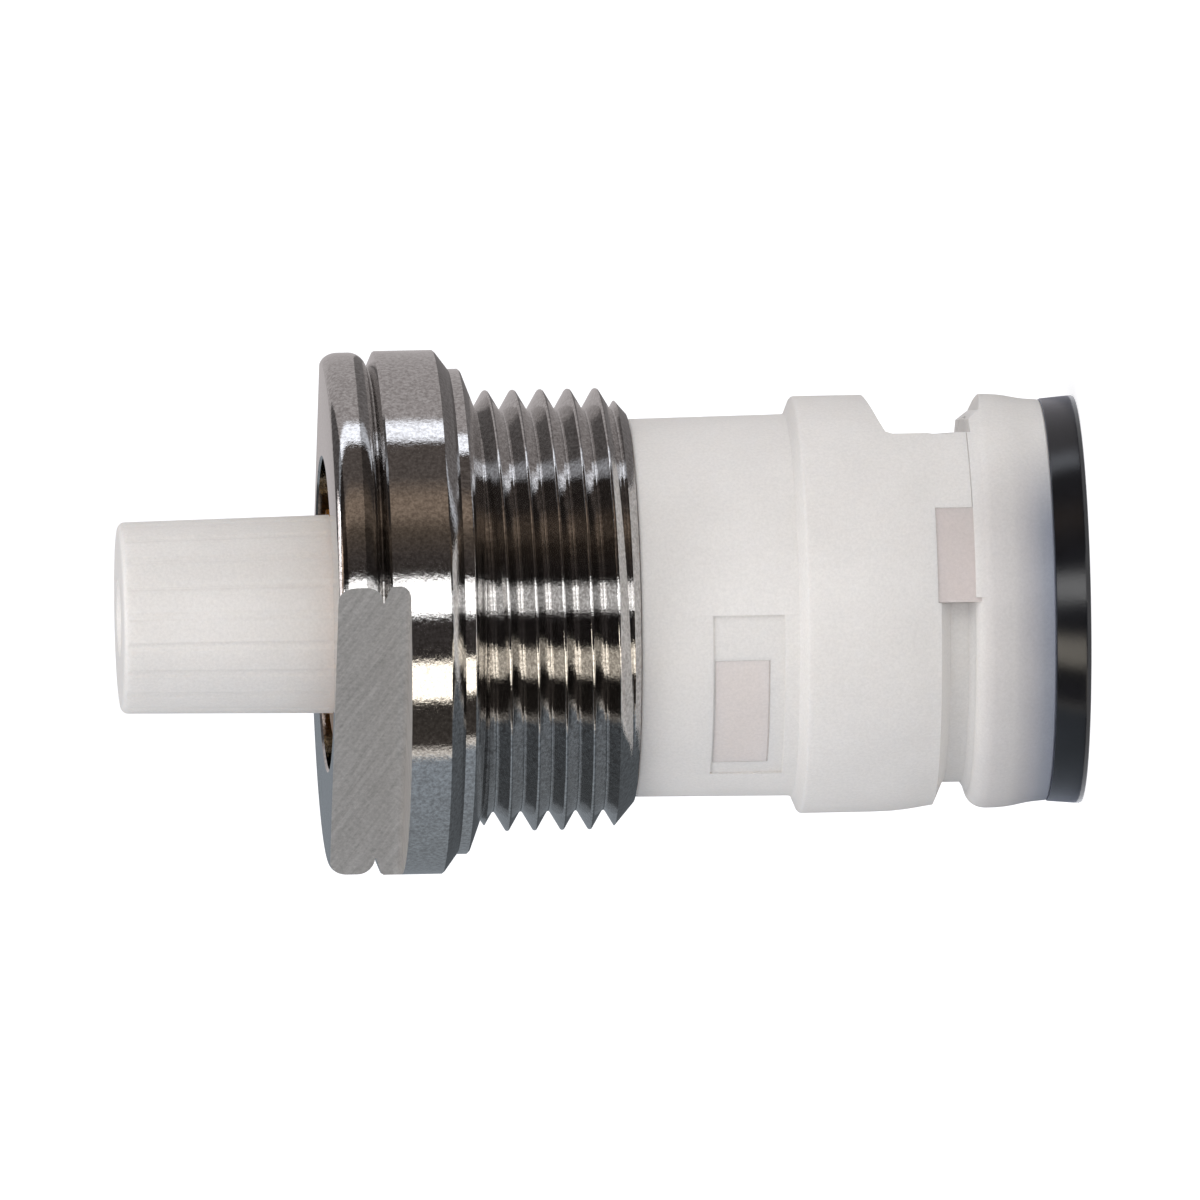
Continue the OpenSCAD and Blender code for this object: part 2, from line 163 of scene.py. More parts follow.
# Reflection screen
# Bright polished metal shows only what stands round it, so a screen stands in a ring round the part
# and folds in over it and under it, where the thread's flanks look. Its stops run round it from the
# camera, towards the top of the picture. Only reflections see it, and it throws no light or shadow
# on the plastic.
screen_stops = [
    (-180, "#83898f", 0.8), (-120, "#8a9197", 0.95), (-66, "#8e969e", 1.05), (-65, "#d8d2ca", 1.2),
    (-62, "#d8d2ca", 1.2), (-61, "#4a4541", 0.9), (-38.5, "#3a3633", 0.9), (-38, "#fff6e6", 2.3),
    (-22, "#fff6e6", 2.3), (-21.5, "#3f3b3a", 0.9), (-1.5, "#3f3b3a", 0.9), (-1, "#ffffff", 2.5),
    (14, "#ffffff", 2.5), (14.5, "#332f2d", 1.1), (24, "#3b3634", 1.3), (36, "#4e453d", 1.3),
    (44, "#786a5e", 1.35), (50, "#786a5e", 1.35), (60, "#4f4946", 1.3), (79.5, "#4f4946", 1.3),
    (80, "#f2f6ff", 1.5), (91, "#f2f6ff", 1.5), (91.5, "#a8a3a3", 1.05), (180, "#a8a3a3", 1.05)]
screen_radius = 0.3
screen_height = 0.25
screen_gap = 0.0001
screen_folds = [
    ("wall", (screen_radius, screen_gap), (screen_radius, screen_height), 1.24),
    ("foot", (0.012, screen_gap), (screen_radius, screen_gap), 0.5),
    ("head", (screen_radius, screen_height), (0.11, screen_height), 0.3),
    ("crown", (0.11, screen_height), (0.001, screen_height), 4.5)]


def screen_piece(name, start, end, inner, outer, share):
    """Bends one piece of the screen between two stops, and between two points of its section."""
    material, tree, output = new_material(name)
    place = add_node(tree, "TexCoord").outputs["Object"]
    turned = add_node(tree, "Mapping", Vector=place, Rotation=(0, 0, math.radians(90)))
    around = add_node(tree, "TexGradient", {"gradient_type": "RADIAL"}, Vector=turned.outputs[0])
    along = add_node(
        tree, "MapRange", Value=around.outputs["Fac"], From_Min=start[0] / 360 + 0.5,
        From_Max=end[0] / 360 + 0.5)
    ends = [[part * strength for part in linear(colour)] for angle, colour, strength in (start, end)]
    shade = add_node(tree, "MixRGB", Fac=along.outputs[0], Color1=ends[0], Color2=ends[1])
    glow = add_node(tree, "Emission", Color=shade.outputs[0], Strength=share)
    tree.links.new(glow.outputs[0], output.inputs["Surface"])
    columns = max(1, round((end[0] - start[0]) / 4))
    bpy.ops.mesh.primitive_grid_add(x_subdivisions=columns, y_subdivisions=1, size=1)
    for vertex in bpy.context.object.data.vertices:
        angle = math.radians(start[0] + (end[0] - start[0]) * (vertex.co.x + 0.5))
        rise = vertex.co.y + 0.5
        radius = inner[0] + (outer[0] - inner[0]) * rise
        height = inner[1] + (outer[1] - inner[1]) * rise
        vertex.co = Vector((math.sin(angle) * radius, -math.cos(angle) * radius, height))
    piece = studio_piece(name, material)
    piece.visible_camera = False
    piece.visible_diffuse = False
    piece.visible_transmission = False
    piece.visible_volume_scatter = False
    piece.visible_shadow = False


for number, (start, end) in enumerate(zip(screen_stops, screen_stops[1:])):
    for fold, inner, outer, share in screen_folds:
        screen_piece("screen_%d_%s" % (number, fold), start, end, inner, outer, share)

# Bonnet nut
# Turned from brass bar and plated with bright chrome: two ridges with a V-groove between, a plain
# collar and a right-hand M24 x 1.5 thread. Two wrench flats are milled across the top.
nut_lo, nut_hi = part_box("bonnet_nut")
nut_foot = nut_lo.z / MM
nut_top = nut_hi.z / MM
ridge_radius = nut_hi.x / MM
crown_radius = ridge_radius - 0.05
crown_low = 39.5
crown_high = 40.05
crown_drop = 0.7
groove_middle = 38.55
groove_depth = 0.9
thread_radius = 12.0
thread_pitch = 1.5
thread_root = 10.95
thread_top = 32.6
lead_depth = 1.4
lead_length = 1.2
collar_radius = 13.2
collar_low = 33.5
collar_high = 34.12
ridge_low = 34.87
ridge_high = 38.18
nut_bore = 9.0
recess_radius = 8.5
recess_floor = nut_top - 1.6
lip_radius = 5.65
lip_under = recess_floor - 0.9
flat_height = 3.9
flat_fillet = 0.5
across_flats = 19.0
flat_direction = math.radians(47.5)


def turn_solid(name, outline, steps=192):
    """Turns a solid from its half outline of radius and height in millimetres, ring by ring."""
    bpy.ops.object.select_all(action="DESELECT")
    radius, height = outline[0]
    bpy.ops.mesh.primitive_circle_add(vertices=steps, radius=radius * MM, location=(0, 0, height * MM))
    piece = bpy.context.object
    piece.name = name
    bpy.ops.object.transform_apply(location=True, rotation=True, scale=True)
    bpy.ops.object.mode_set(mode="EDIT")
    bpy.ops.mesh.select_all(action="SELECT")
    for next_radius, next_height in outline[1:]:
        rise = (0, 0, (next_height - height) * MM)
        bpy.ops.mesh.extrude_edges_move(TRANSFORM_OT_translate={"value": rise})
        grow = next_radius / radius
        bpy.ops.transform.resize(value=(grow, grow, 1), center_override=(0, 0, next_height * MM))
        radius, height = next_radius, next_height
    bpy.ops.mesh.select_all(action="SELECT")
    bpy.ops.mesh.remove_doubles(threshold=0.0005 * MM)
    bpy.ops.mesh.fill_holes(sides=0)
    bpy.ops.mesh.normals_make_consistent(inside=False)
    bpy.ops.object.mode_set(mode="OBJECT")
    return piece


def cut_with(piece, tool, how="DIFFERENCE"):
    """Cuts, joins or trims a piece with a tool, which is used up."""
    modifier = piece.modifiers.new("cut", "BOOLEAN")
    modifier.object = tool
    modifier.operation = how
    modifier.solver = "EXACT"
    bpy.ops.object.select_all(action="DESELECT")
    bpy.context.view_layer.objects.active = piece
    bpy.ops.object.modifier_apply(modifier="cut")
    bpy.data.objects.remove(tool)


def finish_shading(piece, angle=32):
    """Smooths a piece's shading, but for edges sharper than the angle."""
    bpy.ops.object.select_all(action="DESELECT")
    piece.select_set(True)
    bpy.context.view_layer.objects.active = piece
    bpy.ops.object.shade_smooth_by_angle(angle=math.radians(angle))


def arc_points(radius, height, across, along, start, end, steps):
    """Gives points on part of an ellipse in the half outline, between two angles in degrees."""
    angles = [math.radians(start + (end - start) * i / steps) for i in range(steps + 1)]
    return [(radius + across * math.cos(a), height + along * math.sin(a)) for a in angles]


def block_tool(size, place, turn=0.0, round_edge=0.0):
    """Makes a block to cut with, in millimetres, turned about the stem's axis."""
    bpy.ops.object.select_all(action="DESELECT")
    bpy.ops.mesh.primitive_cube_add(size=1, location=[v * MM for v in place], scale=[v * MM for v in size])
    tool = bpy.context.object
    bpy.ops.object.transform_apply(location=True, rotation=True, scale=True)
    if round_edge:
        bpy.ops.object.mode_set(mode="EDIT")
        bpy.ops.mesh.select_all(action="SELECT")
        bpy.ops.mesh.bevel(offset=round_edge * MM, segments=5)
        bpy.ops.object.mode_set(mode="OBJECT")
    tool.data.transform(Matrix.Rotation(turn, 4, "Z"))
    return tool


# One pitch of the thread's outline is wound up the nut as a threaded rod, then trimmed to length with
# a chamfered start and joined to the head, and the bore and the front recess are cut through both.
first_crest = 26.05
turns_below = 2
turns = 8
half_section = [
    (thread_radius, 0.02), (thread_radius - 0.01, 0.055), (thread_radius - 0.035, 0.085),
    (thread_radius - 0.07, 0.108), (11.03, 0.635), (10.97, 0.69), (thread_root, 0.5 * thread_pitch)]
section = [(radius, -height) for radius, height in reversed(half_section)] + half_section
bpy.ops.object.select_all(action="DESELECT")
bpy.ops.mesh.primitive_circle_add(vertices=len(section), radius=1)
nut = bpy.context.object
nut.name = "bonnet_nut_body"
for vertex, (radius, height) in zip(nut.data.vertices, section):
    vertex.co = (radius * MM, 0, (first_crest - turns_below * thread_pitch + height) * MM)
bpy.ops.object.mode_set(mode="EDIT")
bpy.ops.mesh.select_mode(type="EDGE")
bpy.ops.mesh.select_all(action="DESELECT")
bpy.ops.object.mode_set(mode="OBJECT")
for edge in nut.data.edges:
    edge.select = set(edge.vertices) == {0, len(section) - 1}
bpy.ops.object.mode_set(mode="EDIT")
bpy.ops.mesh.delete(type="EDGE")
bpy.ops.mesh.select_mode(type="VERT")
bpy.ops.object.mode_set(mode="OBJECT")
screw = nut.modifiers.new("wind", "SCREW")
screw.axis = "Z"
screw.screw_offset = thread_pitch * MM
screw.iterations = turns
screw.steps = 144
screw.render_steps = 144
bpy.ops.object.modifier_apply(modifier="wind")
bpy.ops.object.mode_set(mode="EDIT")
bpy.ops.mesh.select_all(action="SELECT")
bpy.ops.mesh.remove_doubles(threshold=0.0005 * MM)
bpy.ops.mesh.select_all(action="SELECT")
bpy.ops.mesh.fill_holes(sides=0)
bpy.ops.mesh.select_all(action="SELECT")
bpy.ops.mesh.normals_make_consistent(inside=False)
bpy.ops.object.mode_set(mode="OBJECT")

trim = turn_solid("thread_trim", [
    (0.01, nut_foot), (thread_radius - lead_depth, nut_foot), (thread_radius, nut_foot + lead_length),
    (thread_radius + 0.1, nut_foot + lead_length + 0.1),
    (thread_radius + 0.1, thread_top - 0.35), (thread_root - 0.1, thread_top + 0.5),
    (0.01, thread_top + 0.5)])
cut_with(nut, trim, "INTERSECT")

head_outline = [(0.01, thread_top), (thread_root, thread_top), (thread_root + 0.15, thread_top + 0.1)]
head_outline += [(collar_radius - 0.1, collar_low - 0.05), (collar_radius, collar_low + 0.06)]
head_outline += [(collar_radius, collar_high - 0.02), (ridge_radius - 0.1, ridge_low - 0.07)]
head_outline += [(ridge_radius, ridge_low + 0.05), (ridge_radius, ridge_high - 0.12)]
head_outline += [(ridge_radius - 0.08, ridge_high)]
head_outline += [(crown_radius - groove_depth + 0.04, groove_middle - 0.04)]
head_outline += arc_points(
    crown_radius - groove_depth, crown_low, groove_depth, crown_low - groove_middle, -86, 0, 16)
head_outline += arc_points(crown_radius - crown_drop, crown_high, crown_drop, nut_top - crown_high, 0, 86, 14)
head_outline += [(0.01, nut_top)]
cut_with(nut, turn_solid("nut_head", head_outline), "UNION")
cut_with(nut, turn_solid("nut_bore", [
    (0.01, nut_foot - 1), (nut_bore + 0.3, nut_foot - 1), (nut_bore + 0.3, nut_foot),
    (nut_bore, nut_foot + 0.3), (nut_bore, lip_under), (lip_radius, lip_under), (lip_radius, recess_floor),
    (recess_radius, recess_floor),
    (recess_radius, nut_top - 0.12), (recess_radius + 0.12, nut_top), (recess_radius + 0.12, nut_top + 1),
    (0.01, nut_top + 1)]))

for side in (0, math.pi):
    flat_tool = block_tool(
        (20, 40, 10), (across_flats / 2 + 10, 0, nut_top - flat_height + 5), flat_direction + side,
        flat_fillet)
    cut_with(nut, flat_tool)
finish_shading(nut)

# Bright chrome over turned brass mirrors its surroundings, a little broken up by turning marks.
chrome, tree, output = new_material("chrome_plated_brass")
place = add_node(tree, "TexCoord").outputs["Object"]
turning_step = 0.22 * MM
around = add_node(tree, "Mapping", Vector=place, Scale=(60, 60, 1 / turning_step))
lathe_marks = add_node(tree, "TexNoise", Vector=around.outputs[0], Scale=1.0, Detail=3.0, Roughness=0.6)
plating = add_node(tree, "TexNoise", Vector=place, Scale=1 / (0.9 * MM), Detail=4.0, Roughness=0.6)
peel = add_node(tree, "TexNoise", Vector=place, Scale=1 / (0.2 * MM), Detail=3.0, Roughness=0.7)
tint = add_node(tree, "ValToRGB", Fac=peel.outputs["Fac"])
tint.color_ramp.elements[0].position = 0.35
tint.color_ramp.elements[0].color = linear("#a6a3a1")
tint.color_ramp.elements[1].position = 0.65
tint.color_ramp.elements[1].color = linear("#d8d7d6")
haze = add_node(
    tree, "MapRange", Value=plating.outputs["Fac"], From_Min=0.3, From_Max=0.7, To_Min=0.04, To_Max=0.08)
marks = add_node(tree, "Bump", Height=lathe_marks.outputs["Fac"], Strength=0.1, Distance=0.004 * MM)
orange_peel = add_node(
    tree, "Bump", Height=peel.outputs["Fac"], Strength=0.6, Distance=0.008 * MM, Normal=marks.outputs[0])
shell = add_node(
    tree, "BsdfPrincipled", Base_Color=tint.outputs[0], Metallic=1.0, Roughness=haze.outputs[0],
    Normal=orange_peel.outputs[0])
tree.links.new(shell.outputs[0], output.inputs["Surface"])

# The milled flats are plated too, but over the cutter's coarse slanting scratches, so they look matt.
milled, tree, output = new_material("chrome_over_milled_brass")
place = add_node(tree, "TexCoord").outputs["Object"]
scratch_gap = 0.3 * MM
face_on = add_node(tree, "Mapping", {"vector_type": "POINT"}, Vector=place, Rotation=(0, 0, -flat_direction))
slant = add_node(tree, "Mapping", Vector=face_on.outputs[0], Rotation=(math.radians(62), 0, 0))
drawn = add_node(tree, "Mapping", Vector=slant.outputs[0], Scale=(1, 1 / scratch_gap, 0.05 / scratch_gap))
scratches = add_node(tree, "TexNoise", Vector=drawn.outputs[0], Scale=1.0, Detail=4.0, Roughness=0.7)
grain = add_node(tree, "TexNoise", Vector=place, Scale=1 / (0.2 * MM), Detail=3.0, Roughness=0.7)
tone = add_node(
    tree, "MixRGB", {"blend_type": "MIX"}, Fac=0.5, Color1=scratches.outputs["Fac"],
    Color2=grain.outputs["Fac"])
tint = add_node(tree, "ValToRGB", Fac=tone.outputs[0])
tint.color_ramp.elements[0].position = 0.35
tint.color_ramp.elements[0].color = linear("#a5a19d")
tint.color_ramp.elements[1].position = 0.65
tint.color_ramp.elements[1].color = linear("#cfcbc7")
relief = add_node(tree, "Bump", Height=tone.outputs[0], Strength=0.55, Distance=0.03 * MM)
shell = add_node(
    tree, "BsdfPrincipled", Base_Color=tint.outputs[0], Metallic=0.6, Roughness=0.42,
    Normal=relief.outputs[0])
tree.links.new(shell.outputs[0], output.inputs["Surface"])

nut.data.materials.clear()
nut.data.materials.append(chrome)
nut.data.materials.append(milled)
for face in nut.data.polygons:
    middle = face.center / MM
    across = abs(middle.x * math.cos(flat_direction) + middle.y * math.sin(flat_direction))
    facing = abs(face.normal.x * math.cos(flat_direction) + face.normal.y * math.sin(flat_direction))
    on_flat = facing > 0.98 and abs(across - across_flats / 2) < 0.05
    on_fillet = across < across_flats / 2 + flat_fillet and middle.z < nut_top - flat_height + flat_fillet
    on_ledge = abs(middle.z - nut_top + flat_height) < 0.05
    if middle.z > nut_top - flat_height - 0.1 and across > across_flats / 2 - 0.05:
        if on_flat or on_ledge or on_fillet and face.normal.z < 0.98:
            face.material_index = 1
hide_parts("bonnet_nut")
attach(nut, "nut")

# Acetal mouldings
# The body, the end ring, the stem and the pieces inside are moulded in white acetal. It is satin,
# and lets a little light in, so its shadows stay soft and slightly warm.


def acetal(name, colour, shade_colour, roughness, painted_foot_shade=()):
    """Makes one grade of moulded acetal, with a faint grain, and painted shade up its foot if asked."""
    material, tree, output = new_material(name)
    place = add_node(tree, "TexCoord").outputs["Object"]
    clouds = add_node(tree, "TexNoise", Vector=place, Scale=1 / (4.5 * MM), Detail=3.0, Roughness=0.5)
    skin = add_node(tree, "TexNoise", Vector=place, Scale=1 / (0.16 * MM), Detail=3.0, Roughness=0.7)
    tint = add_node(tree, "ValToRGB", Fac=clouds.outputs["Fac"])
    tint.color_ramp.elements[0].position = 0.3
    tint.color_ramp.elements[0].color = linear(shade_colour)
    tint.color_ramp.elements[1].position = 0.7
    tint.color_ramp.elements[1].color = linear(colour)
    speck = add_node(
        tree, "MapRange", Value=skin.outputs["Fac"], From_Min=0.3, From_Max=0.7, To_Min=0.93, To_Max=1.04)
    grey = add_node(tree, "CombineColor", Red=speck.outputs[0], Green=speck.outputs[0], Blue=speck.outputs[0])
    tone = add_node(
        tree, "MixRGB", {"blend_type": "MULTIPLY"}, Fac=1.0, Color1=tint.outputs[0], Color2=grey.outputs[0])
    # Painted shade: the colour turns bluish grey towards the foot, most on the side away from the port's
    # lamp, like a shadow beside the black seal.
    if painted_foot_shade:
        spot = add_node(tree, "SeparateXYZ", Vector=place).outputs
        up = add_node(tree, "MapRange", Value=spot["Z"], From_Min=0.0, From_Max=8 * MM)
        foot = add_node(tree, "ValToRGB", Fac=up.outputs[0])
        while len(foot.color_ramp.elements) < len(painted_foot_shade):
            foot.color_ramp.elements.new(1.0)
        for stop, (height, painted_shade_colour) in zip(foot.color_ramp.elements, painted_foot_shade):
            stop.position = height / 8
            stop.color = linear(painted_shade_colour)
        painted_shade_side = add_node(
            tree, "MapRange", {"interpolation_type": "SMOOTHSTEP"}, Value=spot["X"], From_Min=10 * MM,
            From_Max=3.5 * MM, To_Min=0.0, To_Max=1.0)
        tone = add_node(
            tree, "MixRGB", {"blend_type": "MULTIPLY"}, Fac=painted_shade_side.outputs[0], Color1=tone.outputs[0],
            Color2=foot.outputs[0])
    sheen = add_node(
        tree, "MapRange", Value=skin.outputs["Fac"], From_Min=0.3, From_Max=0.7,
        To_Min=roughness - 0.05, To_Max=roughness + 0.08)
    relief = add_node(tree, "Bump", Height=skin.outputs["Fac"], Strength=0.18, Distance=0.012 * MM)
    plastic = add_node(
        tree, "BsdfPrincipled", Base_Color=tone.outputs[0], Roughness=sheen.outputs[0],
        Normal=relief.outputs[0])
    plastic.inputs["IOR"].default_value = 1.48
    plastic.inputs["Subsurface Weight"].default_value = 0.22
    plastic.inputs["Subsurface Radius"].default_value = (1.0, 0.85, 0.7)
    plastic.inputs["Subsurface Scale"].default_value = 1.2 * MM
    tree.links.new(plastic.outputs[0], output.inputs["Surface"])
    return material


white_acetal = acetal("white_acetal", "#e9e6e2", "#e4e1dd", 0.42)
# The end ring's acetal carries painted shade: bluish grey darkening towards the seal, strongest away from the
# port's side.
ring_acetal_with_painted_shade = acetal("white_acetal_with_painted_foot_shade", "#e9e6e2", "#e4e1dd", 0.42, [
    (1.9, "#98a0b2"), (2.5, "#aab0bd"), (2.9, "#bec1cb"), (3.4, "#d0d1d7"), (4.2, "#e3e3e5"),
    (5.6, "#ebeaeb"), (6.4, "#fbfbfb")])
# A darker, pinker acetal for the tongue in the side slot: the pink is a tint of the moulding, and the
# darkening is painted shade of a recessed slot.
slot_acetal_with_painted_shade = acetal("acetal_with_painted_slot_shade", "#d3c9c5", "#cdc5c1", 0.45)
natural_acetal = acetal("natural_acetal", "#e4dcd8", "#dfd7d2", 0.45)

# Cartridge body
# One moulding: barrel, wide collar, an outlet port in a flat seat, the groove round the back of it
# with a side slot, and two windows in shallow panels that the bushing's barbed lugs snap into.
body_lo, body_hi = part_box("cartridge_body")
body_foot = body_lo.z / MM
body_top = body_hi.z / MM
body_radius = body_hi.y / MM
body_bore = 9.2
skirt_radius = 10.0
joint_height = 6.25
barrel_low = 10.38
barrel_high = 10.28
foot_radius = 11.04
body_outline = [(body_bore, body_foot), (skirt_radius, body_foot), (skirt_radius, joint_height)]
body_outline += [(foot_radius - 0.05, joint_height), (foot_radius, joint_height + 0.05)]
body_outline += [(foot_radius, 8.1), (11.1, 8.55), (11.19, 9.1), (11.26, 9.65), (11.32, 10.3)]
body_outline += [(body_radius, 11.3)]
body_outline += [(body_radius, 15.26), (body_radius - 0.03, 15.36)]
body_outline += [(body_radius - 0.12, 15.45), (barrel_low + 0.14, 15.74), (barrel_low + 0.04, 15.82)]
body_outline += [(barrel_low, 15.95), (barrel_high, body_top - 0.18), (barrel_high - 0.05, body_top - 0.05)]
body_outline += [(barrel_high - 0.18, body_top), (body_bore, body_top), (body_bore, body_foot)]
body = turn_solid("cartridge_body_moulding", body_outline, 256)


def turned_tool(outline, start, end):
    """Sweeps a closed section of radius and height round the axis, to cut part of a turn."""
    bpy.ops.object.select_all(action="DESELECT")
    bpy.ops.mesh.primitive_circle_add(vertices=len(outline), radius=1, fill_type="NGON")
    tool = bpy.context.object
    first = math.radians(start)
    for vertex, (radius, height) in zip(tool.data.vertices, outline):
        vertex.co = (radius * math.cos(first) * MM, radius * math.sin(first) * MM, height * MM)
    bpy.ops.object.mode_set(mode="EDIT")
    bpy.ops.mesh.select_all(action="SELECT")
    bpy.ops.mesh.spin(
        steps=max(6, round(end - start)), angle=math.radians(end - start), center=(0, 0, 0), axis=(0, 0, -1))
    bpy.ops.mesh.select_all(action="SELECT")
    bpy.ops.mesh.remove_doubles(threshold=0.0005 * MM)
    bpy.ops.mesh.normals_make_consistent(inside=False)
    bpy.ops.object.mode_set(mode="OBJECT")
    return tool


groove_floor = 9.82
groove_section = [
    (groove_floor, 6.6), (groove_floor, 7.56), (groove_floor + 0.05, 7.62), (10.95, 8.1), (14, 9.45),
    (14, 5.25), (10.32, 5.25), (10.32, 6.26), (groove_floor + 0.05, 6.54)]
cut_with(body, turned_tool(groove_section, 60, 271))

# The seat, the shoulder over it and the lip under it are one straight pull of the mould along Y.
seat_outline = [
    (9.18, 10.3), (9.3, 10.68), (9.9, 10.98), (10.5, 11.22), (11, 11.43), (11.4, 11.6), (13, 11.6),
    (13, 5.15), (11.3, 5.15), (10.9, 5.3), (10.4, 5.45), (9.97, 5.98), (9.9, 6.06), (9.18, 6.06)]


def seat_tool():
    """Makes the tool that cuts the port's seat out of the body and the end ring."""
    bpy.ops.object.select_all(action="DESELECT")
    bpy.ops.mesh.primitive_circle_add(vertices=len(seat_outline), radius=1, fill_type="NGON")
    tool = bpy.context.object
    for vertex, (across, height) in zip(tool.data.vertices, seat_outline):
        vertex.co = (across * MM, -14 * MM, height * MM)
    bpy.ops.object.mode_set(mode="EDIT")
    bpy.ops.mesh.select_all(action="SELECT")
    bpy.ops.mesh.extrude_region_move(TRANSFORM_OT_translate={"value": (0, 28 * MM, 0)})
    bpy.ops.mesh.select_all(action="SELECT")
    bpy.ops.mesh.normals_make_consistent(inside=False)
    bpy.ops.object.mode_set(mode="OBJECT")
    return tool


cut_with(body, seat_tool())
port_low = 6.98
port_high = 10.3
port_width = 12.4
slot_high = 8.3

# Each cutting tool's faces and ends stand slightly off the piece's own faces and vertices, because a
# cut along a surface that both share can leave the mesh open or turn it inside out.
slot_section = [
    (8.2, joint_height + 0.003), (skirt_radius + 0.003, joint_height + 0.003), (skirt_radius + 0.003, 5.25),
    (14, 5.25), (14, slot_high), (8.2, slot_high)]
cut_with(body, block_tool((6, port_width, port_high - port_low), (9.2, 0, (port_high + port_low) / 2)))
cut_with(body, turned_tool(slot_section, -90.35, -62.5))

panel_radius = barrel_high - 0.06
panel_section = [(panel_radius, 16.6), (panel_radius, 20.5), (11.2, 20.5), (11.2, 16.6)]
window_section = [(8.2, 17.4), (8.2, 20.4), (11.2, 20.4), (11.2, 17.4)]
for side in (0, 180):
    cut_with(body, turned_tool(panel_section, side - 152, side - 93))
    cut_with(body, turned_tool(window_section, side - 146, side - 107))
finish_shading(body)
body.data.materials.clear()
body.data.materials.append(white_acetal)
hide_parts("cartridge_body")
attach(body, "housing")

# End ring
# A short acetal ring on the body's skirt, which holds the fixed disc and the seal. Its upper edge is
# rounded into the groove and cut away below the port, and a tongue on it fills the side slot.
ring_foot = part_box("end_ring")[0].z / MM
ring_top = joint_height - 0.002
rim_radius = 11.26
rim_round = 0.86
rim_low = 5.2
end_ring_outline = [
    (8.1, ring_foot), (10.84, ring_foot), (10.91, ring_foot + 0.08), (10.94, 2.35), (10.97, 2.7),
    (11.02, 3.05), (11.09, 3.4), (11.16, 3.75), (11.22, 4.15), (rim_radius, 4.7)]
end_ring_outline += arc_points(rim_radius - rim_round, rim_low, rim_round, ring_top - rim_low, 0, 90, 16)
end_ring_outline += [(10.05, ring_top), (10.05, 4.1), (9.2, 4.1), (9.2, 3.4), (8.1, 3.4), (8.1, ring_foot)]
end_ring = turn_solid("end_ring_moulding", end_ring_outline, 256)
land_section = [
    (10.15, rim_low), (11.22, rim_low), (11.18, 5.6), (11.1, ring_top - 0.003), (10.15, ring_top - 0.003)]
cut_with(end_ring, turned_tool(land_section, -89, 60), "UNION")
cut_with(end_ring, seat_tool())
tongue_section = [
    (10.2, rim_low + 0.1), (11.01, rim_low + 0.1), (11.01, slot_high - 0.004), (body_bore, slot_high - 0.004),
    (body_bore, 6.3), (10.2, 6.3)]
cut_with(end_ring, turned_tool(tongue_section, -90.25, -62.52), "UNION")
for side in (120, 240):
    key_section = [(8.25, 3.1), (8.25, 3.9), (9.45, 3.9), (9.45, 3.1)]
    cut_with(end_ring, turned_tool(key_section, side - 8, side + 8), "UNION")
finish_shading(end_ring)
# The ring takes the acetal with painted shade at its foot.
end_ring.data.materials.clear()
end_ring.data.materials.append(ring_acetal_with_painted_shade)
end_ring.data.materials.append(slot_acetal_with_painted_shade)
# The tongue's faces above the joint take the darker acetal, whose darkening is painted shade.
for face in end_ring.data.polygons:
    if face.center.z > joint_height * MM:
        face.material_index = 1
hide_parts("end_ring")
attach(end_ring, "housing")

# Stem
# An acetal spindle. The stub that carries the handle is slightly tapered, with shallow flutes and a
# screw hole in its end. Below the nut it has ring grooves, a thrust flange and a drive tongue.
stub_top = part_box("stem")[1].z / MM
stub_root = 5.4
stub_end = 5.21
stub_from = nut_top
groove_half = 0.95
stem_outline = [(0.01, 15.2), (6, 15.2), (6, 27.6), (7.9, 27.6), (7.9, 29.4), (6.35, 29.4)]
for oring_height in (32.1, 35.7):
    stem_outline += [(6.35, oring_height - groove_half), (4.97, oring_height - groove_half)]
    stem_outline += [(4.97, oring_height + groove_half), (6.35, oring_height + groove_half)]
stem_outline += [(6.35, 38.3), (5.45, 38.3), (5.45, 39.88), (4.65, 39.88), (4.65, 40.68), (stub_root, 40.68)]
stem_outline += [(stub_end + 0.005, stub_top - 0.42)]
stem_outline += arc_points(stub_end - 0.4, stub_top - 0.4, 0.4, 0.4, 0, 90, 6)
stem_outline += [(2.15, stub_top), (1.65, stub_top - 0.5), (1.65, stub_top - 9), (0.01, stub_top - 9.8)]
stem = turn_solid("stem_moulding", stem_outline, 240)
flute_count = 20
flute_radius = 0.7
flute_depth = 0.06
lean = math.atan((stub_root - stub_end) / (stub_top - stub_from))
for flute in range(flute_count):
    bpy.ops.object.select_all(action="DESELECT")
    bpy.ops.mesh.primitive_cylinder_add(vertices=48, radius=flute_radius * MM, depth=13 * MM)
    rod = bpy.context.object
    rod.data.transform(Matrix.Translation((0, 0, 6.5 * MM)))
    rod.data.transform(Matrix.Rotation(-lean, 4, "Y"))
    rod.data.transform(Matrix.Translation(((stub_root - flute_depth + flute_radius) * MM, 0, stub_from * MM)))
    rod.data.transform(Matrix.Rotation(2 * math.pi * flute / flute_count, 4, "Z"))
    cut_with(stem, rod)
lug = turned_tool([(5, 25.4), (5, 28), (7.8, 28), (7.8, 25.4)], -40, 40)
cut_with(stem, lug, "UNION")
cut_with(stem, block_tool((10.8, 3.2, 4.5), (0, 0, 13.95)), "UNION")
finish_shading(stem, 24)
stem.data.materials.clear()
stem.data.materials.append(white_acetal)
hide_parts("stem")
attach(stem, "rotor")

# End seal
# A black nitrile rubber ring that closes on the seat in the faucet body. It flares a little towards
# its outer face, and its boss fills the end ring up to the fixed disc.
seal_outline = [
    (6.32, 0), (10.95, 0), (11.06, 0.03), (11.1, 0.12), (11.09, 0.3), (10.96, 1.8), (10.93, 1.86),
    (10.86, 1.88), (8.0, 1.88), (8.0, 3.4), (6.76, 3.4), (6.76, 0.48), (6.32, 0.48), (6.32, 0)]
seal = turn_solid("end_seal_rubber", seal_outline, 256)
finish_shading(seal)

